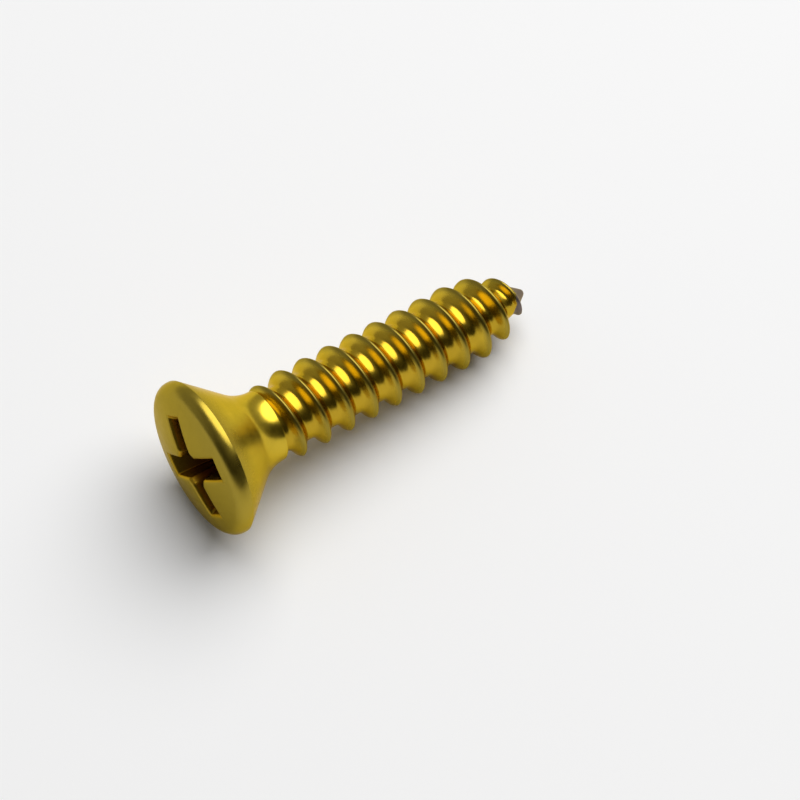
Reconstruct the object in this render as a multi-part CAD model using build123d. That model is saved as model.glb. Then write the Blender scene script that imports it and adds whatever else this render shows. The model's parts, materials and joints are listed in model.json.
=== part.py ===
"""Self-tapping screw with a raised countersunk head, a cross recess and a gimlet point.

The screw is drawn upright first: its axis is Z, the widest ring of the head lies at
height zero, the domed face points down to minus Z and the point of the screw up to
plus Z. It is then laid down as it comes to rest on a table, head towards minus X,
on the rim of the head and on its thread. All sizes are in millimetres.
"""

import math
import os

from build123d import *

# ---- driving dimensions -------------------------------------------------------
LENGTH = 19.2  # from the widest ring of the head to the point

HEAD_RADIUS = 3.95  # widest ring of the head
DOME_HEIGHT = 1.05  # crown of the dome above the widest ring
RIM_ROUND = 0.50  # sweep of the dome into the widest ring
RIM_HEIGHT = 0.11  # straight edge around the head, below the widest ring
RIM_LOW_ROUND = 0.06  # rounding from that edge into the countersunk face
CONE_HALF_ANGLE = 40.0  # countersunk face, measured from the axis

NECK_RADIUS = 1.82  # plain neck under the head, the diameter of the rolled blank
NECK_ROUND = 2.20  # sweep of the countersunk face into the neck
NECK_PLAIN = 0.05  # straight neck between that sweep and the step down to the thread root

PITCH = 1.40
MAJOR_RADIUS = 2.11
ROOT_RADIUS = 1.55
FLANK_HALF_ANGLE = 30.0
CREST_WIDTH = 0.16
THREAD_SINK = 0.14  # how far the ridge reaches into the core that carries it
PHASE_HEIGHT = 3.29  # a height at which the crest crosses the side that lies lowest

THREAD_IN_NECK = 0.50  # the ridge starts this far inside the end of the neck
THREAD_START_DROP = 0.04  # its crest starts this far below the skin of the neck
THREAD_RUN_IN = 1.50  # axial length over which it grows to full height
CORE_IN_NECK = 1.10  # the core that carries it starts this far inside the neck
THREAD_END_GAP = 0.20  # the ridge stops this far short of the point
THREAD_RUN_OUT = 0.45  # axial length over which it sinks into the point

POINT_THREAD_LENGTH = 4.00  # tapered part of the thread, measured from the point
POINT_THREAD_TIP = 0.38  # radius its taper would reach at the very point
POINT_CORE_LENGTH = 4.20  # tapered part of the core
POINT_WAIST = (0.74, 0.90)  # radius, and distance from the point, where the taper steepens
POINT_NOSE_RADIUS = 0.24  # ball at the very point

RECESS_DEPTH = 3.10  # from the crown of the dome to the floor of the wings
RECESS_FLOOR_RADIUS = 1.145  # reach of a wing at that depth
RECESS_END_SLOPE = 26.5  # outer end of a wing, measured from the axis
RECESS_WING_WIDTH = 0.88  # width of a wing at that depth
RECESS_WALL_SLOPE = 1.8  # walls of a wing, measured from the axis
RECESS_CORNER = 0.75  # reach of the cut corner between two wings, at that depth
RECESS_CORNER_SLOPE = 4.0  # that corner, measured from the axis
RECESS_LEAST_CUT = 0.02  # it never gets narrower than this
RECESS_FLOOR_SLOPE = 28.0  # cone at the bottom, measured from the level
RECESS_TURN = 41.5  # turn of the cross about the axis
RECESS_OFFSET = (-0.20, -0.30)  # the punch sits this far off the axis
PUNCH_ABOVE = 0.50  # it is drawn this far beyond the crown of the dome

POINTS_PER_TURN = 10  # of the curves that draw the thread
TURNS_PER_PIECE = 2.5  # the ridge is drawn in pieces of at most this many turns
REST_STEPS = 4000  # places along the thread that are tried for the lowest one


# ---- where the neck and the thread begin --------------------------------------
def cone_end() -> float:
    """Height at which the countersunk face would meet the neck without its sweep."""
    slope = math.tan(math.radians(CONE_HALF_ANGLE))
    return RIM_HEIGHT + (HEAD_RADIUS - NECK_RADIUS) / slope


def neck_end() -> float:
    """Height at which the neck steps down to the root of the thread."""
    sweep = NECK_ROUND * math.tan(math.radians(CONE_HALF_ANGLE / 2))
    return cone_end() + sweep + NECK_PLAIN


def thread_start() -> float:
    """Height at which the ridge starts, inside the neck."""
    return neck_end() - THREAD_IN_NECK


# ---- thread -------------------------------------------------------------------
def ease(share: float) -> float:
    """Rise smoothly from 0 to 1 while the share goes from 0 to 1."""
    share = min(1.0, max(0.0, share))
    return share * share * (3.0 - 2.0 * share)


def point_corners() -> list[tuple[float, float]]:
    """Corners (radius, distance from the point) of the core's taper, from the ball outwards."""
    waist_radius, waist = POINT_WAIST
    slope = math.atan2(waist_radius, waist - POINT_NOSE_RADIUS)
    slope -= math.asin(POINT_NOSE_RADIUS / math.hypot(waist_radius, waist - POINT_NOSE_RADIUS))
    nose = (POINT_NOSE_RADIUS * math.cos(slope), POINT_NOSE_RADIUS * (1 - math.sin(slope)))
    return [nose, POINT_WAIST, (ROOT_RADIUS, POINT_CORE_LENGTH)]


def core_radius(height: float) -> float:
    """Radius of the core under the thread, which narrows in two steps to a small ball."""
    left = LENGTH - height
    corners = point_corners()
    if left < corners[0][1]:
        return math.sqrt(max(0.0, left * (2 * POINT_NOSE_RADIUS - left)))
    for (low_radius, low), (high_radius, high) in zip(corners, corners[1:]):
        if left < high:
            return low_radius + (high_radius - low_radius) * (left - low) / (high - low)
    return ROOT_RADIUS


def crest_radius(height: float) -> float:
    """Radius of the thread crest, grown at the neck and tapered at the point."""
    left = LENGTH - height
    taper = 1.0 - min(1.0, left / POINT_THREAD_LENGTH)
    radius = POINT_THREAD_TIP + (MAJOR_RADIUS - POINT_THREAD_TIP) * (1.0 - taper * taper)
    start = NECK_RADIUS - THREAD_START_DROP
    grown = ease((height - thread_start()) / THREAD_RUN_IN)
    faded = ease((left - THREAD_END_GAP) / THREAD_RUN_OUT)
    sunk = core_radius(height) - THREAD_SINK / 2
    if left > POINT_THREAD_LENGTH:
        return start + (radius - start) * grown
    return sunk + (radius - sunk) * faded


def ridge_section(height: float) -> list[tuple[float, float]]:
    """Four corners (radius, height) of the ridge: root, crest, crest, root."""
    crest = crest_radius(height)
    foot = core_radius(height) - THREAD_SINK
    half_crest = CREST_WIDTH / 2
    half_foot = half_crest + (crest - foot) * math.tan(math.radians(FLANK_HALF_ANGLE))
    return [
        (foot, height - half_foot),
        (crest, height - half_crest),
        (crest, height + half_crest),
        (foot, height + half_foot),
    ]


def ridge_piece(first: float, turns: float) -> Solid:
    """Right-hand ridge over some turns, closed, bounded by four helical strips."""
    steps = math.ceil(turns * POINTS_PER_TURN)
    lines: list[list[Vector]] = [[], [], [], []]
    for step in range(steps + 1):
        turn = first + turns * step / steps
        angle = 2 * math.pi * turn
        section = ridge_section(PHASE_HEIGHT + PITCH * turn)
        for line, (radius, height) in zip(lines, section):
            line.append(Vector(radius * math.cos(angle), radius * math.sin(angle), height))
    shares = [step / steps for step in range(steps + 1)]
    curves = [Edge.make_spline(line, parameters=shares) for line in lines]
    strips = [Face.make_surface_from_curves(curves[i], curves[(i + 1) % 4]) for i in range(4)]
    caps = [Face(Wire.make_polygon([line[end] for line in lines], close=True)) for end in (0, -1)]
    return Solid(Shell(strips + caps))


def threaded_core() -> Solid:
    """Core with its thread and its point, cut flat where the neck ends."""
    first = (thread_start() - PHASE_HEIGHT) / PITCH
    turns = (LENGTH - THREAD_END_GAP - thread_start()) / PITCH
    count = math.ceil(turns / TURNS_PER_PIECE)
    shape = core()
    for number in range(count):
        shape = shape.fuse(ridge_piece(first + turns * number / count, turns / count))
    beyond = Plane(origin=(0, 0, neck_end()))
    return shape & Solid.make_cylinder(2 * MAJOR_RADIUS, LENGTH, beyond)


# ---- head, neck and core ------------------------------------------------------
def core() -> Solid:
    """Plain core from inside the neck to the point."""
    with BuildPart() as turned:
        with BuildSketch(Plane.XZ) as half:
            with BuildLine():
                nose, waist, full = [(radius, LENGTH - left) for radius, left in point_corners()]
                base = neck_end() - CORE_IN_NECK
                middle = (nose[1] + LENGTH) / 2
                Polyline((0, base), (ROOT_RADIUS, base), full, waist, nose)
                ThreePointArc(nose, (core_radius(middle), middle), (0, LENGTH))
                Line((0, LENGTH), (0, base))
            make_face()
        revolve(axis=Axis.Z)
    return turned.part.solid()


def dome_sphere() -> float:
    """Radius of the sphere of the dome, which the round of the rim touches."""
    reach = HEAD_RADIUS - RIM_ROUND
    return (reach**2 + DOME_HEIGHT**2 - RIM_ROUND**2) / (2 * (DOME_HEIGHT - RIM_ROUND))


def dome_point(radius: float) -> tuple[float, float]:
    """Point of the dome at a given distance from the axis."""
    sphere = dome_sphere()
    return radius, sphere - DOME_HEIGHT - math.sqrt(sphere**2 - radius**2)


def head() -> Solid:
    """Head and neck as one turned shape."""
    sphere = dome_sphere()
    edge = (HEAD_RADIUS - RIM_ROUND) * sphere / (sphere - RIM_ROUND)
    with BuildPart() as turned:
        with BuildSketch(Plane.XZ) as half:
            with BuildLine():
                dome = ThreePointArc((0, -DOME_HEIGHT), dome_point(edge / 2), dome_point(edge))
                TangentArc(dome @ 1, (HEAD_RADIUS, 0), tangent=dome % 1)
                Polyline(
                    (HEAD_RADIUS, 0),
                    (HEAD_RADIUS, RIM_HEIGHT),
                    (NECK_RADIUS, cone_end()),
                    (NECK_RADIUS, neck_end()),
                    (0, neck_end()),
                    dome @ 0,
                )
            make_face()
            fillet(corner(half, HEAD_RADIUS, RIM_HEIGHT), RIM_LOW_ROUND)
            fillet(corner(half, NECK_RADIUS, cone_end()), NECK_ROUND)
        revolve(axis=Axis.Z)
    return turned.part.solid()


def corner(sketch: BuildSketch, radius: float, height: float) -> Vertex:
    """Corner of the half profile nearest to a radius and a height."""
    return sketch.vertices().sort_by_distance(Vector(radius, height))[0]


# ---- recess -------------------------------------------------------------------
def cross_outline(depth: float) -> list[tuple[float, float]]:
    """Sixteen corners of the cross at a depth below the crown."""
    rise = RECESS_DEPTH - depth
    reach = RECESS_FLOOR_RADIUS + rise * math.tan(math.radians(RECESS_END_SLOPE))
    half = RECESS_WING_WIDTH / 2 + rise * math.tan(math.radians(RECESS_WALL_SLOPE))
    cut = RECESS_CORNER + rise * math.tan(math.radians(RECESS_CORNER_SLOPE))
    near = max(cut * math.sqrt(2) - half, half + RECESS_LEAST_CUT)
    outline = []
    for wing in range(4):
        turn = math.radians(RECESS_TURN + 90 * wing)
        for along, across in ((near, -half), (reach, -half), (reach, half), (near, half)):
            x = along * math.cos(turn) - across * math.sin(turn)
            y = along * math.sin(turn) + across * math.cos(turn)
            outline.append((x + RECESS_OFFSET[0], y + RECESS_OFFSET[1]))
    return outline


def cross_wire(depth: float) -> Wire:
    """Outline of the cross as a closed wire at its height on the screw."""
    height = depth - DOME_HEIGHT
    return Wire.make_polygon([Vector(x, y, height) for x, y in cross_outline(depth)], close=True)


def recess() -> Solid:
    """Shape that the punch leaves: a tapered cross with a shallow cone at its floor."""
    cone_depth = RECESS_FLOOR_RADIUS * math.tan(math.radians(RECESS_FLOOR_SLOPE))
    wings = Solid.make_loft([cross_wire(-PUNCH_ABOVE), cross_wire(RECESS_DEPTH)], ruled=True)
    floor = Solid.make_cone(
        RECESS_FLOOR_RADIUS,
        0.0,
        cone_depth,
        Plane(origin=(*RECESS_OFFSET, RECESS_DEPTH - DOME_HEIGHT), z_dir=(0, 0, 1)),
    )
    shaft = Solid.extrude(Face(cross_wire(RECESS_DEPTH)), Vector(0, 0, cone_depth))
    return wings.fuse(floor & shaft)


# ---- the screw, laid down -----------------------------------------------------
def rest_tilt() -> float:
    """Angle in degrees by which the axis leans when rim and thread touch the table."""
    threaded = LENGTH - neck_end()
    heights = [neck_end() + threaded * step / REST_STEPS for step in range(REST_STEPS + 1)]
    tilt = math.pi / 2
    for height in heights:
        turn = 2 * math.pi * (height - PHASE_HEIGHT) / PITCH
        low = crest_radius(height) * math.cos(turn)
        tilt = min(tilt, math.atan2(HEAD_RADIUS - low, height - RIM_HEIGHT))
    return math.degrees(tilt)


def screw() -> Part:
    """The whole screw as one solid, resting on the ground plane."""
    upright = head().cut(recess()).fuse(threaded_core())
    laid = Rot(0, 90 + rest_tilt(), 0) * upright
    box = laid.bounding_box()
    middle = box.center()
    placed = Pos(-middle.X, -middle.Y, -box.min.Z) * laid
    placed.label = "screw"
    return placed


def main() -> None:
    """Write the part's one solid."""
    os.makedirs("parts", exist_ok=True)
    shape = screw()
    export_step(shape, "parts/screw.step")
    box = shape.bounding_box()
    print("solids", len(shape.solids()), "volume", round(shape.volume, 3), "valid", shape.is_valid)
    print("tilt", round(rest_tilt(), 4))
    print("low", [round(v, 4) for v in box.min], "high", [round(v, 4) for v in box.max])


if __name__ == "__main__":
    main()
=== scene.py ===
"""Looks of a brass-plated self-tapping screw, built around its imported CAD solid.

The screw is first modelled upright, in its own frame: its axis is Z, the widest ring
of the head lies at height zero, the dome points down to minus Z and the point of the
screw up to plus Z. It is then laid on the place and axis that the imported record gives.
All lengths are in metres.
"""

import json
import logging
import math
from dataclasses import dataclass
from enum import Enum

import bmesh
import bpy
from mathutils import Matrix, Quaternion, Vector


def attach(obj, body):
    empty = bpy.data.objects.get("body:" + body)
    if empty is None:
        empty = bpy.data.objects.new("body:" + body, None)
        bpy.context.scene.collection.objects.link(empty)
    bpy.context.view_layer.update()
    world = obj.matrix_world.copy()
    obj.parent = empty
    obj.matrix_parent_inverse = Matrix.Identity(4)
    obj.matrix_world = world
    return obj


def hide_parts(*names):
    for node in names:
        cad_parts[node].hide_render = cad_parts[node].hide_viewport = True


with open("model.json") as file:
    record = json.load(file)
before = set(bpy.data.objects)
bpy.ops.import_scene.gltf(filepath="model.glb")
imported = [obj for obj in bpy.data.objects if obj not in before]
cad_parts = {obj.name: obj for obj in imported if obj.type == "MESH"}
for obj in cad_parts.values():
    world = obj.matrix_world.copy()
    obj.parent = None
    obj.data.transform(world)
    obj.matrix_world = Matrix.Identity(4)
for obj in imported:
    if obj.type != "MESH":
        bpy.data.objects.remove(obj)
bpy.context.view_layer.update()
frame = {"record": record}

LOG = logging.getLogger("screw")
MM = 0.001
COLUMNS = 192  # points around the axis in every closed loop
QUARTER = COLUMNS // 4  # points for each wing of the recess
MERGE_GAP = 1e-7  # points nearer than this become one
SKIN = 0.003 * MM  # how far the surface stays inside the solid's widest places
JOINT_DROP = 0.01 * MM  # the ring between head and shank lies at least this far in the neck
LEAST_BLEND = 0.001 * MM  # keeps a blend length above zero where the ridge has faded out
CAMERA_AIM = 9.5 * MM  # from the widest ring of the head to where the camera looks
PAINTED_SHADE = "painted_shade"  # attribute: painted shade, 0 on open surfaces, towards 1 in thread roots and in the recess
BARE = "bare"  # attribute: 0 on plating, 1 on bare steel
SATIN_AND_SHADE = "satin"  # attribute: 0 on bright plating, 1 on the duller dome and crests, whose colour also carries painted shade

Ring = tuple[float, float]  # radius and height of a turned ring
Range = tuple[float, float]  # lower and upper end
Steps = tuple[float, ...]  # shares of a stretch at which points are set
Colour = tuple[float, float, float]
Tree = bpy.types.NodeTree
Socket = bpy.types.NodeSocket


def ease(share: float) -> float:
    """Rise smoothly from 0 to 1 while the share goes from 0 to 1."""
    share = min(1.0, max(0.0, share))
    return share * share * (3.0 - 2.0 * share)


def mix(start: float, end: float, share: float) -> float:
    """Value between two ends."""
    return start + (end - start) * share


def rounded_max(first: float, second: float, blend: float) -> float:
    """Larger of two values, with the corner between them filled over a blend length."""
    return max(first, second) + max(blend - abs(first - second), 0.0) ** 2 / (4.0 * blend)


def rounded_min(first: float, second: float, blend: float) -> float:
    """Smaller of two values, with the corner between them rounded off."""
    return min(first, second) - max(blend - abs(first - second), 0.0) ** 2 / (4.0 * blend)


# ---- modelling helpers --------------------------------------------------------
class LoopStack:
    """Closed mesh that grows by extruding its last loop of points, one loop at a time."""

    def __init__(self, name: str, loop: list[Vector]) -> None:
        """Start with an open ring of plain plating, without painted shade or satin.

        Args:
            name: name of the new object.
            loop: places of the ring's points, in order around the axis.
        """
        bpy.ops.object.select_all(action="DESELECT")
        bpy.ops.mesh.primitive_circle_add(vertices=len(loop), radius=MM, fill_type="NOTHING")
        self.piece = bpy.context.object
        self.piece.name = self.piece.data.name = name
        bpy.ops.object.mode_set(mode="EDIT")
        bpy.ops.mesh.select_all(action="SELECT")
        mesh = bmesh.from_edit_mesh(self.piece.data)
        for layer in (PAINTED_SHADE, BARE, SATIN_AND_SHADE):
            mesh.verts.layers.float.new(layer)
        mesh.verts.ensure_lookup_table()
        self.ring = [vert.index for vert in mesh.verts]
        for index, place in zip(self.ring, loop):
            mesh.verts[index].co = place

    def add(self, loop: list[Vector], painted_shade: float = 0.0, satin: float = 0.0) -> None:
        """Extrude the last ring and set the new ring's points.

        Args:
            loop: places of the new points, in the order of the first ring.
            painted_shade: how much painted shade darkens the plating there, from 0 to 1.
            satin: how dull the plating is there, with painted shade in its colour, from 0 to 1.
        """
        bpy.ops.mesh.extrude_region_move()
        mesh = bmesh.from_edit_mesh(self.piece.data)
        painted_shade_layer = mesh.verts.layers.float[PAINTED_SHADE]
        satin_and_shade_layer = mesh.verts.layers.float[SATIN_AND_SHADE]
        mesh.verts.ensure_lookup_table()
        mesh.verts.index_update()
        order = {index: step for step, index in enumerate(self.ring)}
        ring = [0] * len(self.ring)
        for vert in mesh.verts:
            if not vert.select:
                continue
            for edge in vert.link_edges:
                step = order.get(edge.other_vert(vert).index)
                if step is not None:
                    ring[step] = vert.index
                    vert.co = loop[step]
                    vert[painted_shade_layer] = painted_shade
                    vert[satin_and_shade_layer] = satin
        self.ring = ring

    def close(self) -> bpy.types.Object:
        """Shrink the last ring to one point and leave edit mode.

        Returns:
            The finished object.
        """
        bpy.ops.mesh.merge(type="COLLAPSE")
        bpy.ops.object.mode_set(mode="OBJECT")
        return self.piece


# ---- the screw's own frame ----------------------------------------------------
@dataclass(frozen=True)
class Place:
    """Where the screw lies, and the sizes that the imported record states."""

    seat: Vector
    axis: Vector
    head_radius: float
    major_radius: float
    neck_end: float
    thread_length: float

    @classmethod
    def from_record(cls, record: dict) -> "Place":
        """Read the mounts of the record.

        Args:
            record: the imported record.

        Returns:
            The place of the widest ring of the head, the axis and the main sizes.
        """
        mounts = {mount["name"]: mount for mount in record["mounts"]}
        head, thread = mounts["head_seat"], mounts["thread"]
        seat = Vector(head["pos_m"])
        neck_end = (Vector(thread["pos_m"]) - seat).length
        return cls(
            seat=seat,
            axis=Vector(head["axis"]).normalized(),
            head_radius=head["dims"]["r_mm"] * MM - SKIN,
            major_radius=thread["dims"]["r_mm"] * MM - SKIN,
            neck_end=neck_end,
            thread_length=thread["dims"]["length_mm"] * MM,
        )

    def matrix(self) -> Matrix:
        """Work out how the upright screw is laid down.

        Returns:
            The transform from the upright frame to the lying screw.
        """
        across = Vector((0.0, 1.0, 0.0))
        down = across.cross(self.axis)
        turn = Matrix((down, across, self.axis)).transposed()
        return Matrix.Translation(self.seat) @ turn.to_4x4()


# ---- thread, core and point ---------------------------------------------------
class Zone(Enum):
    """Part of one turn of the thread."""

    CREST = "crest"
    FLANK = "flank"
    ROOT = "root"


@dataclass(frozen=True)
class Row:
    """Line of points that follows the helix.

    The side is -1 towards the head and 1 towards the point, and the share is how far
    the line lies across its zone, counted from the crest.
    """

    zone: Zone
    side: int
    share: float


@dataclass(frozen=True)
class Shank:
    """Threaded core and gimlet point, as one surface around the axis."""

    start: float  # height at which the neck ends
    length: float  # height of the very point
    major_radius: float
    neck_radius: float
    root_radius: float = 1.55 * MM
    pitch: float = 1.40 * MM
    phase: float = 3.29 * MM  # a height at which the crest crosses angle zero
    crest_half_width: float = 0.07 * MM
    flank_slope: float = math.tan(math.radians(30.0))  # run along the axis for each rise
    crest_blend: float = 0.20 * MM  # length over which the crest is rounded
    root_blend: float = 0.34 * MM  # length over which the root is filled
    root_fill: float = 0.6  # share of the ridge's rise that the fill may take
    start_drop: float = 0.04 * MM  # the crest starts this far below the skin of the neck
    in_neck: float = 0.50 * MM  # it starts to grow this far inside the end of the neck
    run_in: float = 1.50 * MM  # length over which it grows to full height
    end_gap: float = 0.20 * MM  # it stops this far short of the point
    run_out: float = 0.45 * MM  # length over which it sinks into the core there
    taper_length: float = 4.00 * MM  # tapered part of the crest, from the point
    taper_tip: float = 0.38 * MM  # radius that this taper would reach at the point
    core_taper: float = 4.20 * MM  # tapered part of the core, from the point
    core_blend: float = 0.05 * MM  # length over which the corners of the core are rounded
    waist_radius: float = 0.74 * MM  # radius at which the core's taper steepens
    waist: float = 0.90 * MM  # distance of that place from the point
    nose_radius: float = 0.24 * MM  # ball at the very point
    nose_steps: int = 5
    crest_step: float = 0.8
    flank_steps: Steps = (0.05, 0.12, 0.22, 0.36, 0.52, 0.68, 0.80, 0.90, 1.0)
    root_steps: Steps = (0.08, 0.2, 0.45, 0.75, 1.0)
    widest_foot: float = 0.45  # half of a ridge takes no more of the pitch than this
    least_rise: float = 0.10 * MM  # lower ridges are dressed as if they were this high
    root_painted_shade: float = 0.28  # painted shade at the bottom between two turns
    satin_and_shade_start: float = 0.5  # share of the ridge's rise above which it gets duller and takes painted shade
    bare_length: float = 0.55 * MM  # bare steel at the point
    bare_fade: float = 0.45 * MM  # length over which the plating begins
    bare_lean: float = 0.50  # how much further back the steel shows on one side, by radius
    bare_side: float = math.radians(-90.0)  # angle of that side about the axis

    def nose_tangent(self) -> tuple[float, float]:
        """Find where the ball at the point meets the taper of the core.

        Returns:
            Radius, and distance from the point.
        """
        rise = self.waist - self.nose_radius
        slope = math.atan2(self.waist_radius, rise)
        slope -= math.asin(self.nose_radius / math.hypot(self.waist_radius, rise))
        return self.nose_radius * math.cos(slope), self.nose_radius * (1.0 - math.sin(slope))

    def core(self, height: float) -> float:
        """Work out the core, which narrows in two tapers to a small ball.

        Args:
            height: height above the widest ring of the head.

        Returns:
            Radius of the core.
        """
        left = self.length - height
        nose, nose_left = self.nose_tangent()
        if left < nose_left:
            return math.sqrt(max(0.0, left * (2.0 * self.nose_radius - left)))
        low = mix(nose, self.waist_radius, (left - nose_left) / (self.waist - nose_left))
        share = (left - self.waist) / (self.core_taper - self.waist)
        high = mix(self.waist_radius, self.root_radius, share)
        tapered = rounded_min(low, high, self.core_blend)
        return rounded_min(tapered, self.root_radius, self.core_blend)

    def crest(self, height: float) -> float:
        """Work out the crest, which grows at the neck and sinks away at the point.

        Args:
            height: height above the widest ring of the head.

        Returns:
            Radius of the thread crest.
        """
        left = self.length - height
        taper = 1.0 - min(1.0, left / self.taper_length)
        radius = mix(self.taper_tip, self.major_radius, 1.0 - taper * taper)
        if left > self.taper_length:
            start = self.neck_radius - self.start_drop
            grown = ease((height - self.start + self.in_neck) / self.run_in)
            return mix(start, radius, grown)
        core = self.core(height)
        return mix(core, max(radius, core), ease((left - self.end_gap) / self.run_out))

    def surface(self, angle: float, height: float) -> float:
        """Work out the finished surface, with rounded crest and filled root.

        Args:
            angle: angle about the axis, in radians.
            height: height above the widest ring of the head.

        Returns:
            Distance of the surface from the axis.
        """
        turns = (height - self.phase) / self.pitch - angle / math.tau
        offset = (turns - round(turns)) * self.pitch
        core = self.core(height)
        rise = max(0.0, self.crest(height - offset) - self.core(height - offset))
        flank = rise - (abs(offset) - self.crest_half_width) / self.flank_slope
        ridge = rounded_min(rise, flank, min(self.crest_blend, rise + LEAST_BLEND))
        fill = min(self.root_blend, self.root_fill * rise + LEAST_BLEND)
        return core + rounded_max(0.0, ridge, fill)

    def rows(self) -> list[Row]:
        """List the rows of points over one pitch, closer together where the section turns.

        Returns:
            The rows, from the root on the head's side of a crest to the next root.
        """
        right = [Row(Zone.CREST, 1, self.crest_step)]
        for share in self.flank_steps:
            right.append(Row(Zone.FLANK, 1, share))
        for share in self.root_steps:
            right.append(Row(Zone.ROOT, 1, share))
        left = [Row(row.zone, -1, row.share) for row in reversed(right)]
        return left + [Row(Zone.CREST, 1, 0.0)] + right[:-1]

    def row_height(self, row: Row, crest_height: float) -> float:
        """Find the height of a row's point beside a crest.

        Args:
            row: the row.
            crest_height: height of the crest at the same angle.

        Returns:
            Height of the point.
        """
        rise = max(0.0, self.crest(crest_height) - self.core(crest_height))
        foot = self.crest_half_width + rise * self.flank_slope
        foot = min(foot, self.pitch * self.widest_foot)
        match row.zone:
            case Zone.CREST:
                offset = mix(0.0, self.crest_half_width, row.share)
            case Zone.FLANK:
                offset = mix(self.crest_half_width, foot, row.share)
            case Zone.ROOT:
                offset = mix(foot, self.pitch / 2.0, row.share)
        return crest_height + row.side * offset

    def ridge_share(self, radius: float, height: float) -> float:
        """How far a place lies up the thread, from 0 at the root to 1 at the crest."""
        core = self.core(height)
        return (radius - core) / max(self.crest(height) - core, self.least_rise)

    def painted_shade(self, radius: float, height: float) -> float:
        """Painted shade on the plating, which grows from the crest to the root."""
        return self.root_painted_shade * (1.0 - ease(self.ridge_share(radius, height)))

    def satin(self, radius: float, height: float) -> float:
        """Dullness of the plating, with painted shade in its colour, which grows on the upper
        part of the thread.
        """
        above = self.ridge_share(radius, height) - self.satin_and_shade_start
        return ease(above / (1.0 - self.satin_and_shade_start))

    def bare(self, angle: float, radius: float, height: float) -> float:
        """Share of bare steel, which shows at the very point and further back on one side."""
        extra = self.bare_lean * radius * max(0.0, math.cos(angle - self.bare_side))
        return 1.0 - ease((self.length - height - self.bare_length - extra) / self.bare_fade)

    def build(self, angles: list[float]) -> bpy.types.Object:
        """Wrap a grid around the axis along the helix, from the neck to the point.

        Args:
            angles: angle of each column of points, over one full turn.

        Returns:
            The shank, open at the neck and closed at the point.
        """
        rows = self.rows()
        end = self.length - self.nose_tangent()[1]
        lead = angles[0] / math.tau
        first_crest = math.floor((self.start - self.phase) / self.pitch - 0.5 - lead)
        last_crest = math.ceil((end - self.phase) / self.pitch + 0.5 - lead)
        count = (last_crest - first_crest) * len(rows)
        bpy.ops.object.select_all(action="DESELECT")
        bpy.ops.mesh.primitive_grid_add(x_subdivisions=COLUMNS, y_subdivisions=count, size=2.0)
        piece = bpy.context.object
        piece.name = piece.data.name = "shank"
        painted_shade = piece.data.attributes.new(PAINTED_SHADE, "FLOAT", "POINT")
        bare = piece.data.attributes.new(BARE, "FLOAT", "POINT")
        satin = piece.data.attributes.new(SATIN_AND_SHADE, "FLOAT", "POINT")
        for vert in piece.data.vertices:  # the new grid runs from -1 to 1 both ways
            column = round((vert.co.x + 1.0) / 2.0 * COLUMNS)
            line = round((vert.co.y + 1.0) / 2.0 * count)
            angle = angles[0] + math.tau * column / COLUMNS
            number, step = divmod(line, len(rows))
            crest = self.phase + self.pitch * (first_crest + number + angle / math.tau)
            height = min(end, max(self.start, self.row_height(rows[step], crest)))
            radius = self.surface(angle, height)
            if height <= self.start:
                radius = min(radius, self.neck_radius - JOINT_DROP)
            vert.co = (radius * math.cos(angle), radius * math.sin(angle), height)
            # painted shade, strongest in the roots between turns
            painted_shade.data[vert.index].value = self.painted_shade(radius, height)
            bare.data[vert.index].value = self.bare(angle, radius, height)
            satin.data[vert.index].value = self.satin(radius, height)
        bpy.ops.object.mode_set(mode="EDIT")
        bpy.ops.mesh.select_all(action="SELECT")
        bpy.ops.mesh.remove_doubles(threshold=MERGE_GAP)
        bpy.ops.mesh.select_all(action="DESELECT")
        self.close_nose(piece, end)
        bpy.ops.object.mode_set(mode="OBJECT")
        return piece

    def close_nose(self, piece: bpy.types.Object, end: float) -> None:
        """Extrude the ball at the very point from the last ring.

        Args:
            piece: the shank, in edit mode with nothing selected.
            end: height of its open ring at the point.
        """
        mesh = bmesh.from_edit_mesh(piece.data)
        for edge in mesh.edges:
            if edge.is_boundary and all(vert.co.z > end - MERGE_GAP for vert in edge.verts):
                edge.select = True
        mesh.select_flush(True)
        radius, left = self.nose_tangent()
        start = math.asin(min(1.0, radius / self.nose_radius))
        for step in range(1, self.nose_steps):
            angle = start * (1.0 - step / self.nose_steps)
            next_radius = self.nose_radius * math.sin(angle)
            next_left = self.nose_radius * (1.0 - math.cos(angle))
            bpy.ops.mesh.extrude_region_move(
                TRANSFORM_OT_translate={"value": (0.0, 0.0, left - next_left)}
            )
            scale = next_radius / radius
            centre = (0.0, 0.0, self.length - next_left)
            bpy.ops.transform.resize(value=(scale, scale, 1.0), center_override=centre)
            radius, left = next_radius, next_left
        bpy.ops.mesh.extrude_region_move(TRANSFORM_OT_translate={"value": (0.0, 0.0, left)})
        bpy.ops.mesh.merge(type="COLLAPSE")


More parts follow.
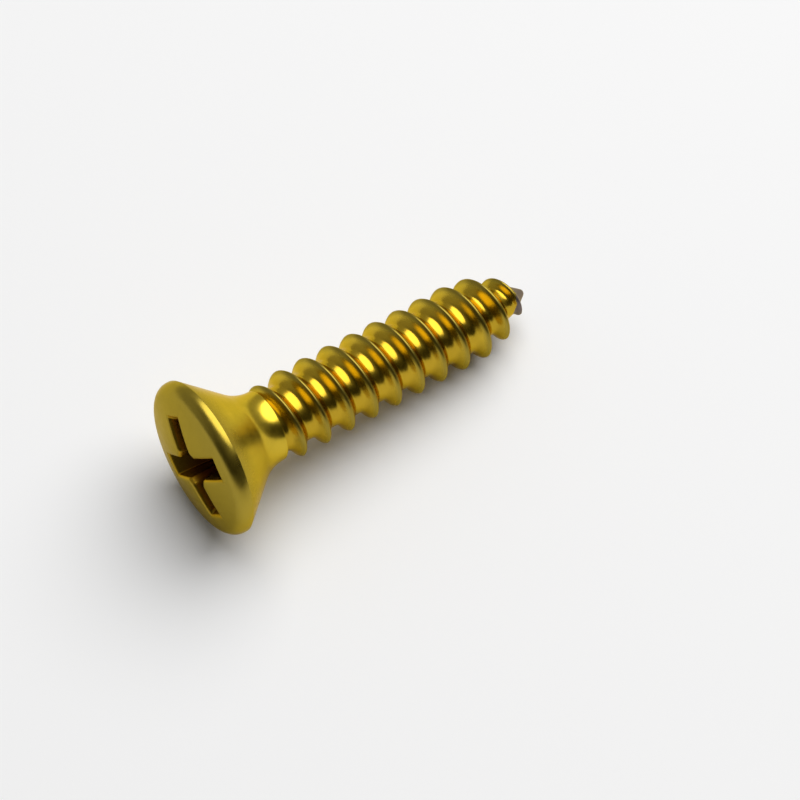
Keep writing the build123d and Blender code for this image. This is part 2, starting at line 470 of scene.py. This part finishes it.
# ---- head ---------------------------------------------------------------------
@dataclass(frozen=True)
class CrossRecess:
    """Tapered cross that the punch leaves in the dome."""

    depth: float = 3.10 * MM  # from the crown of the dome to the floor of the wings
    floor_radius: float = 1.145 * MM  # reach of a wing at that depth
    end_slope: float = math.tan(math.radians(26.5))  # outer end of a wing, from the axis
    wing_width: float = 0.88 * MM  # width of a wing at that depth
    wall_slope: float = math.tan(math.radians(1.8))  # walls of a wing, from the axis
    corner: float = 0.75 * MM  # reach of the cut corner between wings, at that depth
    corner_slope: float = math.tan(math.radians(4.0))  # that corner, from the axis
    floor_slope: float = math.tan(math.radians(28.0))  # cone of the floor, from the level
    turn: float = math.radians(41.5)  # turn of the cross about the axis
    off_axis: tuple[float, float] = (-0.20 * MM, -0.30 * MM)
    mouth_round: float = 0.18 * MM
    end_points: int = 10  # points over half of a wing's end
    wall_points: int = 11  # points over a wing's wall
    mouth_steps: Steps = (0.0, 0.25, 0.5, 0.75, 1.0)
    wall_steps: Steps = (0.2, 0.4, 0.6, 0.8, 0.95)
    floor_steps: Steps = (0.0, 0.25, 0.5, 0.75)

    def outline(self, step: int, depth: float, grow: float) -> tuple[float, float]:
        """Find a point of the cross outline.

        Args:
            step: number of the column around the axis, counted from the middle of a wing.
            depth: depth below the crown of the dome.
            grow: how far the outline is moved outwards.

        Returns:
            X and Y of the point, for a cross whose first wing points along the turn.
        """
        rise = self.depth - depth
        reach = self.floor_radius + rise * self.end_slope + grow
        half = self.wing_width / 2.0 + rise * self.wall_slope + grow
        cut = self.corner + rise * self.corner_slope + grow
        near = cut * math.sqrt(2.0) - half
        wing, inside = divmod(step + QUARTER // 2, QUARTER)
        inside -= QUARTER // 2
        side = 1.0 if inside >= 0 else -1.0
        inside = abs(inside)
        if inside <= self.end_points:
            along, across = reach, half * inside / self.end_points
        elif inside <= self.end_points + self.wall_points:
            share = (inside - self.end_points) / self.wall_points
            along, across = mix(reach, near, share), half
        else:
            last = QUARTER // 2 - self.end_points - self.wall_points
            share = (inside - self.end_points - self.wall_points) / last
            middle = (near + half) / 2.0
            along, across = mix(near, middle, share), mix(half, middle, share)
        angle = self.turn + math.tau * wing / 4.0
        across *= side
        return (
            self.off_axis[0] + along * math.cos(angle) - across * math.sin(angle),
            self.off_axis[1] + along * math.sin(angle) + across * math.cos(angle),
        )


@dataclass(frozen=True)
class Head:
    """Raised countersunk head and plain neck."""

    radius: float
    neck_radius: float
    neck_end: float  # height at which the neck ends
    recess: CrossRecess
    dome_height: float = 1.03 * MM - SKIN
    rim_round: float = 0.62 * MM  # sweep of the dome into the widest ring
    rim_height: float = 0.11 * MM  # straight edge around the head
    rim_low_round: float = 0.06 * MM  # rounding from that edge into the countersunk face
    cone_angle: float = math.radians(40.0)  # countersunk face, from the axis
    neck_round: float = 2.20 * MM  # sweep of the countersunk face into the neck
    neck_edge: float = 0.05 * MM  # rounding at the end of the neck
    dome_ring: float = 3.36 * MM  # last turned ring, outside the mouth of the recess
    edge_steps: int = 4
    sweep_steps: int = 12
    rim_steps: int = 14
    cone_steps: Steps = (0.25, 0.5, 0.75)
    dome_steps: Steps = (0.2, 0.4, 0.6, 0.8, 1.0)
    fan_steps: Steps = (0.12, 0.25, 0.4, 0.55, 0.7, 0.82, 0.92)
    settle_rounds: int = 4  # times that a point of the mouth is set back onto the dome
    painted_shade_start: float = -0.02 * MM  # depth at which painted shade begins in the recess
    painted_shade_depth: float = 0.12 * MM  # further depth over which the walls take their painted shade
    wall_painted_shade: float = 0.62  # painted shade of the walls, before the depth adds to it
    full_shade_depth: float = 1.4 * MM  # depth at which the painted shade is full
    rim_satin_and_shade: float = 0.7  # dullness and painted shade at the widest ring
    satin_and_shade_fade: float = 1.10 * MM  # height over which the dullness and painted shade fade on the cone

    def sphere(self) -> float:
        """Work out the dome, which the round of the rim touches.

        Returns:
            Radius of the sphere of the dome.
        """
        reach = self.radius - self.rim_round
        span = reach**2 + self.dome_height**2 - self.rim_round**2
        return span / (2.0 * (self.dome_height - self.rim_round))

    def dome(self, radius: float) -> float:
        """Height of the dome at a distance from the axis."""
        sphere = self.sphere()
        return sphere - self.dome_height - math.sqrt(sphere**2 - radius**2)

    def profile(self) -> list[Ring]:
        """List the turned rings, from the neck's end over the rim to the dome.

        Returns:
            Radius and height of each ring.
        """
        centre = (self.neck_radius - self.neck_edge, self.neck_end - self.neck_edge)
        points = self.arc(centre, self.neck_edge, 90.0, 0.0, self.edge_steps)
        slope = math.tan(self.cone_angle)
        cone_end = self.rim_height + (self.radius - self.neck_radius) / slope
        sweep = self.neck_round * math.tan(self.cone_angle / 2.0)
        turn = math.degrees(self.cone_angle)
        centre = (self.neck_radius + self.neck_round, cone_end + sweep)
        points += self.arc(centre, self.neck_round, 180.0, 180.0 + turn, self.sweep_steps)
        tangent = self.rim_low_round * math.tan(self.cone_angle / 2.0)
        centre = (self.radius - self.rim_low_round, self.rim_height - tangent)
        low_rim = self.arc(centre, self.rim_low_round, turn, 0.0, self.edge_steps)
        cone_start, cone_foot = points[-1], low_rim[0]
        for share in self.cone_steps:
            radius = mix(cone_start[0], cone_foot[0], share)
            points.append((radius, mix(cone_start[1], cone_foot[1], share)))
        points += low_rim
        centre = (self.radius - self.rim_round, 0.0)
        lean = math.degrees(math.atan2(self.sphere() - self.dome_height, centre[0]))
        points += self.arc(centre, self.rim_round, 0.0, -lean, self.rim_steps)
        for share in self.dome_steps:  # each is a share of what is left to the last ring
            radius = mix(points[-1][0], self.dome_ring, share)
            points.append((radius, self.dome(radius)))
        return points

    @staticmethod
    def arc(centre: Ring, radius: float, start: float, end: float, steps: int) -> list[Ring]:
        """Draw a round in the turned profile.

        Args:
            centre: radius and height of its centre.
            radius: radius of the round.
            start: first angle in degrees, from the outward direction towards plus Z.
            end: last angle in degrees.
            steps: number of stretches.

        Returns:
            Radius and height of each ring.
        """
        points = []
        for step in range(steps + 1):
            angle = math.radians(mix(start, end, step / steps))
            across, up = radius * math.cos(angle), radius * math.sin(angle)
            points.append((centre[0] + across, centre[1] + up))
        return points

    @staticmethod
    def circle(radius: float, height: float, angles: list[float]) -> list[Vector]:
        """One turned ring."""
        spots = [(radius * math.cos(angle), radius * math.sin(angle)) for angle in angles]
        return [Vector((*spot, height)) for spot in spots]

    def recess_loops(self, angles: list[float]) -> list[list[Vector]]:
        """List the loops from the last turned ring to the middle of the recess floor.

        Args:
            angles: angle of each column on the turned rings.

        Returns:
            The loops, each with one point for each column.
        """
        recess, columns = self.recess, range(COLUMNS)
        mouth = []
        for share in recess.mouth_steps:
            lean = math.radians(90.0) * share
            grow = recess.mouth_round * (1.0 - math.sin(lean))
            sink = recess.mouth_round * (1.0 - math.cos(lean))
            mouth.append([self.mouth_point(step, grow, sink) for step in columns])
        loops = self.dome_loops(mouth[0], angles) + mouth
        floor = recess.depth - self.dome_height
        tops = [point.z for point in mouth[-1]]
        for share in recess.wall_steps:
            loops.append([self.wall_point(step, tops[step], floor, share) for step in columns])
        for inset in recess.floor_steps:
            loops.append([self.floor_point(step, inset) for step in columns])
        return loops

    def mouth_point(self, step: int, grow: float, sink: float) -> Vector:
        """Find a point of the rounded edge of the recess.

        Args:
            step: number of the column.
            grow: how far the point lies outside the wall.
            sink: how far it lies below the dome.

        Returns:
            The point.
        """
        place = Vector((*self.recess.outline(step, 0.0, grow), 0.0))
        for _ in range(self.settle_rounds):
            height = self.dome(place.xy.length) + sink
            spot = self.recess.outline(step, height + self.dome_height, grow)
            place = Vector((*spot, height))
        return place

    def wall_point(self, step: int, top: float, floor: float, share: float) -> Vector:
        """Point of the wall of the recess."""
        height = mix(top, floor, share)
        return Vector((*self.recess.outline(step, height + self.dome_height, 0.0), height))

    def floor_point(self, step: int, inset: float) -> Vector:
        """Find a point of the conical floor of the recess.

        Args:
            step: number of the column.
            inset: share of the way from the wall to the middle.

        Returns:
            The point.
        """
        recess = self.recess
        middle = Vector(recess.off_axis)
        reach = (Vector(recess.outline(step, recess.depth, 0.0)) - middle) * (1.0 - inset)
        fall = max(0.0, recess.floor_radius - reach.length) * recess.floor_slope
        return Vector((*(reach + middle), recess.depth - self.dome_height + fall))

    def satin(self, radius: float, height: float) -> float:
        """Work out how dull the plating is and how much painted shade darkens it: full on the
        dome, fading past the rim.

        Args:
            radius: radius of the ring.
            height: height of the ring.

        Returns:
            Dullness and painted shade, from 0 to 1.
        """
        if height > 0.0:
            return self.rim_satin_and_shade * (1.0 - ease(height / self.satin_and_shade_fade))
        return mix(self.rim_satin_and_shade, 1.0, ease((self.radius - radius) / self.rim_round))

    def painted_shade(self, loop: list[Vector]) -> float:
        """Work out the painted shade in the recess: shaded walls, and darker deep down.

        Args:
            loop: loop on the dome or in the recess.

        Returns:
            Painted shade, from 0 to 1.
        """
        depth = min(place.z - self.dome(min(place.xy.length, self.dome_ring)) for place in loop)
        half_shaded = self.wall_painted_shade * ease((depth - self.painted_shade_start) / self.painted_shade_depth)
        return half_shaded + (1.0 - self.wall_painted_shade) * ease(depth / self.full_shade_depth)

    def dome_loops(self, mouth: list[Vector], angles: list[float]) -> list[list[Vector]]:
        """List the loops on the dome that turn the last ring into the recess outline.

        Args:
            mouth: points of the outline.
            angles: angle of each column on the turned rings.

        Returns:
            The loops, each with one point for each column.
        """
        ring = self.circle(self.dome_ring, 0.0, angles)
        loops = []
        for share in self.fan_steps:
            spots = [start.xy.lerp(end.xy, share) for start, end in zip(ring, mouth)]
            loops.append([Vector((*spot, self.dome(spot.length))) for spot in spots])
        return loops

    def build(self, shank: Shank, angles: list[float]) -> bpy.types.Object:
        """Grow the head from the ring where the shank starts.

        Args:
            shank: the shank that it joins.
            angles: angle of each column of points.

        Returns:
            The head, open at the neck and closed at the recess floor.
        """
        start = []
        for angle in angles:
            radius = min(shank.surface(angle, self.neck_end), self.neck_radius - JOINT_DROP)
            start += self.circle(radius, self.neck_end, [angle])
        stack = LoopStack("head", start)
        for radius, height in self.profile():
            loop = self.circle(radius, height, angles)
            stack.add(loop, satin=self.satin(radius, height))
        for loop in self.recess_loops(angles):
            # painted shade in the recess, darker deeper down
            stack.add(loop, self.painted_shade(loop), satin=1.0)
        return stack.close()


# ---- finish -------------------------------------------------------------------
@dataclass(frozen=True)
class PlatedBrass:
    """Bright yellow plating over steel, darkened by painted shade in hollows, dome and crests,
    and gone at the very point.
    """

    name: str = "plated_metal"
    gold: Colour = (0.62, 0.435, 0.038)
    olive: Colour = (0.54, 0.385, 0.032)  # clouds in the bright plating
    satin: Colour = (0.31, 0.23, 0.036)  # duller dome and crests, darkened by painted shade
    root: Colour = (0.44, 0.265, 0.016)  # painted shade at half strength, in thread roots and on recess walls
    deep_shade: Colour = (0.15, 0.058, 0.008)  # painted shade at full strength, deep in the recess
    steel: Colour = (0.20, 0.165, 0.16)
    edge_tint: Colour = (1.0, 0.85, 0.45)  # at a grazing look
    roughness: float = 0.23
    satin_roughness: float = 0.32
    steel_roughness: float = 0.45
    grain_scale: float = 2600.0  # bumps in one metre
    cloud_scale: float = 420.0
    noise_detail: float = 3.0
    grain_range: Range = (0.3, 0.7)
    cloud_range: Range = (0.42, 0.62)
    uneven: Range = (-0.02, 0.03)  # change of the roughness over the grain
    ragged: Range = (-0.15, 0.15)  # shift of the steel's edge over the grain
    steel_edge: Range = (0.4, 0.6)
    half_shade_range: Range = (0.0, 0.5)  # painted shade over which the plating turns to the root colour
    full_shade_range: Range = (0.5, 1.0)  # painted shade over which the root colour turns to the deep shade
    bump_strength: float = 0.02
    bump_depth: float = 0.02 * MM

    def material(self) -> bpy.types.Material:
        """Build the node material.

        Returns:
            The new material.
        """
        material = bpy.data.materials.new(self.name)
        material.use_nodes = True
        tree = material.node_tree
        shader = tree.nodes["Principled BSDF"]
        shader.inputs["Metallic"].default_value = 1.0
        shader.inputs["Specular Tint"].default_value = (*self.edge_tint, 1.0)
        coords = tree.nodes.new("ShaderNodeTexCoord").outputs["Object"]
        grain = self.noise(tree, coords, self.grain_scale)
        bare = self.bare_share(tree, grain)
        tree.links.new(self.colour(tree, coords, bare), shader.inputs["Base Color"])
        uneven = spread(tree, grain, self.grain_range, self.uneven)
        level = between(tree, attribute(tree, SATIN_AND_SHADE), self.roughness, self.satin_roughness)
        level = between(tree, bare, level, self.steel_roughness)
        tree.links.new(add(tree, level, uneven), shader.inputs["Roughness"])
        bump = tree.nodes.new("ShaderNodeBump")
        bump.inputs["Strength"].default_value = self.bump_strength
        bump.inputs["Distance"].default_value = self.bump_depth
        tree.links.new(grain, bump.inputs["Height"])
        tree.links.new(bump.outputs["Normal"], shader.inputs["Normal"])
        return material

    def colour(self, tree: Tree, coords: Socket, bare: Socket) -> Socket:
        """Lay the colours over each other: clouded plating, painted shade on the dull dome and
        crests, painted shade in roots and recess, steel at the point.

        Args:
            tree: node tree of the material.
            coords: coordinates of the piece.
            bare: share of bare steel.

        Returns:
            The finished colour.
        """
        cloud = spread(tree, self.noise(tree, coords, self.cloud_scale), self.cloud_range)
        plating = blend(tree, cloud, self.gold, self.olive)
        # painted shade: the dull dome and crests are darkened
        plating = blend(tree, attribute(tree, SATIN_AND_SHADE), plating, self.satin)
        painted_shade = attribute(tree, PAINTED_SHADE)
        # painted shade: thread roots and recess walls darkened, the deep recess nearly black
        half_shaded = blend(tree, spread(tree, painted_shade, self.half_shade_range), plating, self.root)
        dark = blend(tree, spread(tree, painted_shade, self.full_shade_range), half_shaded, self.deep_shade)
        return blend(tree, bare, dark, self.steel)

    def bare_share(self, tree: Tree, grain: Socket) -> Socket:
        """Share of bare steel, with a ragged edge."""
        shift = spread(tree, grain, self.grain_range, self.ragged)
        return spread(tree, add(tree, attribute(tree, BARE), shift), self.steel_edge)

    def noise(self, tree: Tree, coords: Socket, scale: float) -> Socket:
        """Lay a noise over the piece's own coordinates.

        Args:
            tree: node tree of the material.
            coords: coordinates of the piece.
            scale: number of bumps in one metre.

        Returns:
            The noise, around a half.
        """
        node = tree.nodes.new("ShaderNodeTexNoise")
        node.inputs["Scale"].default_value = scale
        node.inputs["Detail"].default_value = self.noise_detail
        tree.links.new(coords, node.inputs["Vector"])
        return node.outputs["Fac"]


# ---- nodes of the finish and of the surroundings ------------------------------
def attribute(tree: Tree, name: str) -> Socket:
    """Read a value that the mesh carries at each point.

    Args:
        tree: node tree of the material.
        name: name of the attribute.

    Returns:
        The value.
    """
    node = tree.nodes.new("ShaderNodeAttribute")
    node.attribute_name = name
    return node.outputs["Fac"]


def add(tree: Tree, first: Socket, second: Socket) -> Socket:
    """Add two values.

    Args:
        tree: node tree that they belong to.
        first: one value.
        second: the other value.

    Returns:
        Their sum.
    """
    node = tree.nodes.new("ShaderNodeMath")
    node.operation = "ADD"
    tree.links.new(first, node.inputs[0])
    tree.links.new(second, node.inputs[1])
    return node.outputs["Value"]


def between(tree: Tree, share: Socket, start: Socket | float, end: float) -> Socket:
    """Find a value between two ends.

    Args:
        tree: node tree that it belongs to.
        share: share of the second end, from 0 to 1.
        start: first end, plain or worked out by other nodes.
        end: second end.

    Returns:
        The value.
    """
    node = tree.nodes.new("ShaderNodeMix")
    tree.links.new(share, node.inputs["Factor"])
    if isinstance(start, float):
        node.inputs["A"].default_value = start
    else:
        tree.links.new(start, node.inputs["A"])
    node.inputs["B"].default_value = end
    return node.outputs["Result"]


def spread(tree: Tree, value: Socket, source: Range, target: Range = (0.0, 1.0)) -> Socket:
    """Rise smoothly over a target range while a value crosses a source range.

    Args:
        tree: node tree that it belongs to.
        value: the value.
        source: range of the value.
        target: range of the result.

    Returns:
        The result.
    """
    node = tree.nodes.new("ShaderNodeMapRange")
    node.interpolation_type = "SMOOTHSTEP"
    node.inputs["From Min"].default_value, node.inputs["From Max"].default_value = source
    node.inputs["To Min"].default_value, node.inputs["To Max"].default_value = target
    tree.links.new(value, node.inputs["Value"])
    return node.outputs["Result"]


def blend(tree: Tree, share: Socket, base: Socket | Colour, over: Colour) -> Socket:
    """Mix a colour over a base colour.

    Args:
        tree: node tree of the material.
        share: share of the upper colour, from 0 to 1.
        base: lower colour, plain or worked out by other nodes.
        over: upper colour.

    Returns:
        The mixed colour.
    """
    node = tree.nodes.new("ShaderNodeMix")
    node.data_type = "RGBA"
    tree.links.new(share, node.inputs["Factor"])
    lower, upper = [socket for socket in node.inputs if socket.type == "RGBA"]
    if isinstance(base, tuple):
        lower.default_value = (*base, 1.0)
    else:
        tree.links.new(base, lower)
    upper.default_value = (*over, 1.0)
    return next(socket for socket in node.outputs if socket.type == "RGBA")


# ---- the whole screw ----------------------------------------------------------
@dataclass(frozen=True)
class Screw:
    """The screw as one closed mesh, laid on its place."""

    place: Place
    finish: PlatedBrass
    neck_radius: float = 1.82 * MM

    def build(self) -> bpy.types.Object:
        """Model the head and the shank, join them and lay the screw down.

        Returns:
            The finished screw.
        """
        recess = CrossRecess()
        angles = [recess.turn + math.tau * step / COLUMNS for step in range(COLUMNS)]
        length = self.place.neck_end + self.place.thread_length
        shank = Shank(self.place.neck_end, length, self.place.major_radius, self.neck_radius)
        head = Head(self.place.head_radius, self.neck_radius, self.place.neck_end, recess)
        head_piece = head.build(shank, angles)
        shank_piece = shank.build(angles)
        bpy.ops.object.select_all(action="DESELECT")
        head_piece.select_set(True)
        shank_piece.select_set(True)
        bpy.context.view_layer.objects.active = head_piece
        bpy.ops.object.join()
        piece = bpy.context.object
        piece.name = piece.data.name = "brass_plated_screw"
        bpy.ops.object.mode_set(mode="EDIT")
        bpy.ops.mesh.select_all(action="SELECT")
        bpy.ops.mesh.remove_doubles(threshold=MERGE_GAP)
        bpy.ops.mesh.normals_make_consistent(inside=False)
        bpy.ops.mesh.faces_shade_smooth()
        bpy.ops.object.mode_set(mode="OBJECT")
        piece.data.transform(self.place.matrix())
        piece.data.materials.clear()
        piece.data.materials.append(self.finish.material())
        return piece


# ---- studio -------------------------------------------------------------------
@dataclass(frozen=True)
class Studio:
    """Pale floor, soft light and the camera."""

    centre: Vector  # where the camera looks
    azimuth: float = math.radians(234.2)
    elevation: float = math.radians(57.7)
    roll: float = math.radians(0.35)
    distance: float = 0.0905
    lens: float = 83.33
    sensor: float = 36.0
    shift: tuple[float, float] = (0.0389, -0.0349)
    clip: Range = (0.005, 5.0)
    floor_size: float = 1.2
    floor_gap: float = 0.02 * MM  # the floor lies this far below the frame's zero
    floor_colour: Colour = (0.93, 0.93, 0.93)
    floor_roughness: float = 0.8
    floor_gloss: float = 0.1
    sky_colour: Colour = (1.0, 1.0, 1.0)
    pale_side: tuple[float, float, float] = (0.17, 0.98, 0.0)
    pale: float = 0.36  # strength of the sky on that side
    dark: float = 0.03  # strength on the other side
    side_range: Range = (-0.45, 0.45)  # where one turns into the other
    overhead: float = 0.17  # strength straight above
    overhead_range: Range = (0.45, 0.95)  # height at which the sides turn into it
    key_towards: tuple[float, float, float] = (0.45, 0.13, 0.88)
    key_distance: float = 0.60
    key_size: tuple[float, float] = (0.84, 0.72)
    key_power: float = 4.5

    def camera(self) -> None:
        """Place the camera."""
        flat, up = math.cos(self.elevation), math.sin(self.elevation)
        towards = Vector((flat * math.cos(self.azimuth), flat * math.sin(self.azimuth), up))
        data = bpy.data.cameras.new("camera")
        data.lens = self.lens
        data.sensor_width = self.sensor
        data.shift_x, data.shift_y = self.shift
        data.clip_start, data.clip_end = self.clip
        camera = bpy.data.objects.new("camera", data)
        bpy.context.scene.collection.objects.link(camera)
        camera.location = self.centre + towards * self.distance
        turn = towards.to_track_quat("Z", "Y") @ Quaternion((0.0, 0.0, 1.0), self.roll)
        camera.rotation_euler = turn.to_euler()
        bpy.context.scene.camera = camera

    def floor(self) -> None:
        """Lay a pale sheet under the screw."""
        bpy.ops.object.select_all(action="DESELECT")
        place = (0.0, 0.0, -self.floor_gap)
        bpy.ops.mesh.primitive_plane_add(size=self.floor_size, location=place)
        sheet = bpy.context.object
        sheet.name = "floor"
        material = bpy.data.materials.new("floor_white")
        material.use_nodes = True
        shader = material.node_tree.nodes["Principled BSDF"]
        shader.inputs["Base Color"].default_value = (*self.floor_colour, 1.0)
        shader.inputs["Roughness"].default_value = self.floor_roughness
        shader.inputs["Specular IOR Level"].default_value = self.floor_gloss
        sheet.data.materials.append(material)

    def key_lamp(self) -> None:
        """Hang a large oval soft lamp that shines at the screw."""
        data = bpy.data.lights.new("key", "AREA")
        data.shape = "ELLIPSE"
        data.size, data.size_y = self.key_size
        data.energy = self.key_power
        lamp = bpy.data.objects.new("key", data)
        bpy.context.scene.collection.objects.link(lamp)
        towards = Vector(self.key_towards).normalized()
        lamp.location = self.centre + towards * self.key_distance
        lamp.rotation_euler = towards.to_track_quat("Z", "Y").to_euler()

    def world(self) -> None:
        """Surround the screw with a sky that is pale behind it, dark on the camera's side."""
        world = bpy.data.worlds.new("surroundings")
        world.use_nodes = True
        tree = world.node_tree
        coords = tree.nodes.new("ShaderNodeTexCoord").outputs["Generated"]
        side = tree.nodes.new("ShaderNodeVectorMath")
        side.operation = "DOT_PRODUCT"
        side.inputs[1].default_value = self.pale_side
        tree.links.new(coords, side.inputs[0])
        around = spread(tree, side.outputs["Value"], self.side_range, (self.dark, self.pale))
        split = tree.nodes.new("ShaderNodeSeparateXYZ")
        tree.links.new(coords, split.inputs["Vector"])
        height = spread(tree, split.outputs["Z"], self.overhead_range)
        sky = tree.nodes["Background"]
        sky.inputs["Color"].default_value = (*self.sky_colour, 1.0)
        tree.links.new(between(tree, height, around, self.overhead), sky.inputs["Strength"])
        bpy.context.scene.world = world

    def build(self) -> None:
        """Set up the whole studio."""
        self.camera()
        self.floor()
        self.world()
        self.key_lamp()


def main() -> None:
    """Build the screw and its studio."""
    logging.basicConfig(level=logging.INFO, format="%(name)s: %(message)s")
    bpy.context.scene.view_settings.view_transform = "Standard"
    place = Place.from_record(frame["record"])
    piece = Screw(place, PlatedBrass()).build()
    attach(piece, "root")
    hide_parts("screw")
    LOG.info("%s: %d faces", piece.name, len(piece.data.polygons))
    Studio(place.seat + place.axis * CAMERA_AIM).build()


if __name__ == "__main__":
    main()
